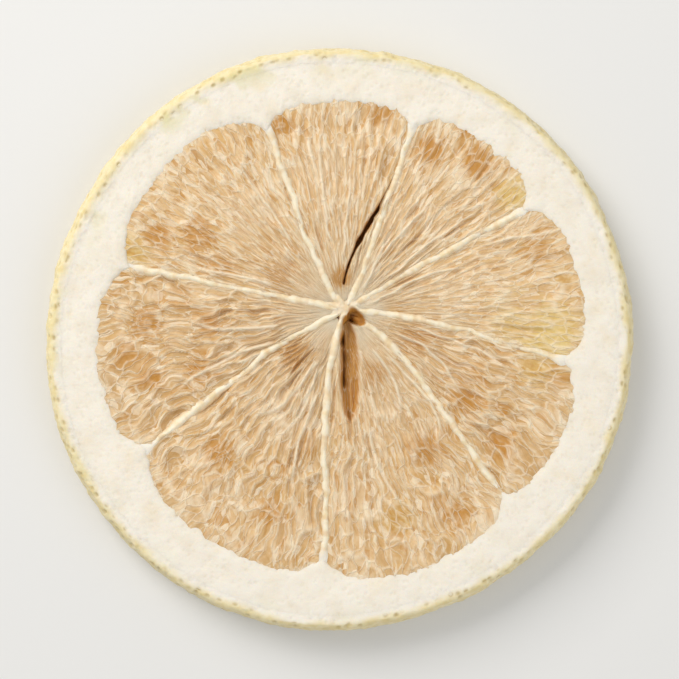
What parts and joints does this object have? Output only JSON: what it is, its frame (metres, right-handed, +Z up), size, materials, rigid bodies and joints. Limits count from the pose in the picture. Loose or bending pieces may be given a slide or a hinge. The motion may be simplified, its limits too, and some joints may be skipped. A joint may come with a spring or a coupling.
{
  "type": "freeze-dried lemon slice",
  "caption": "Thin round crosswise slice of freeze-dried lemon with a pale pith ring, sunken pulp segments between thin membranes, and a seed pocket at the core.",
  "frame": {"origin": "middle of the underside, at the centre of the outline's box", "axes": "+Z up through the slice's thickness, lying flat with the shown cut face up; +Y runs from the core pocket towards the narrow top segment"},
  "size_m": [0.0602, 0.0598, 0.0048],
  "materials": {
    "rind": "pale dried yellow peel, matte with a slight waxy sheen",
    "pith": "dry cream sponge, matte",
    "pulp": "dry warm tan vesicles, matte with streaks",
    "membrane": "thin dry cream skin, matte"
  },
  "bodies": {
    "root": {"lemon_slice": "pith"}
  },
  "joints": []
}
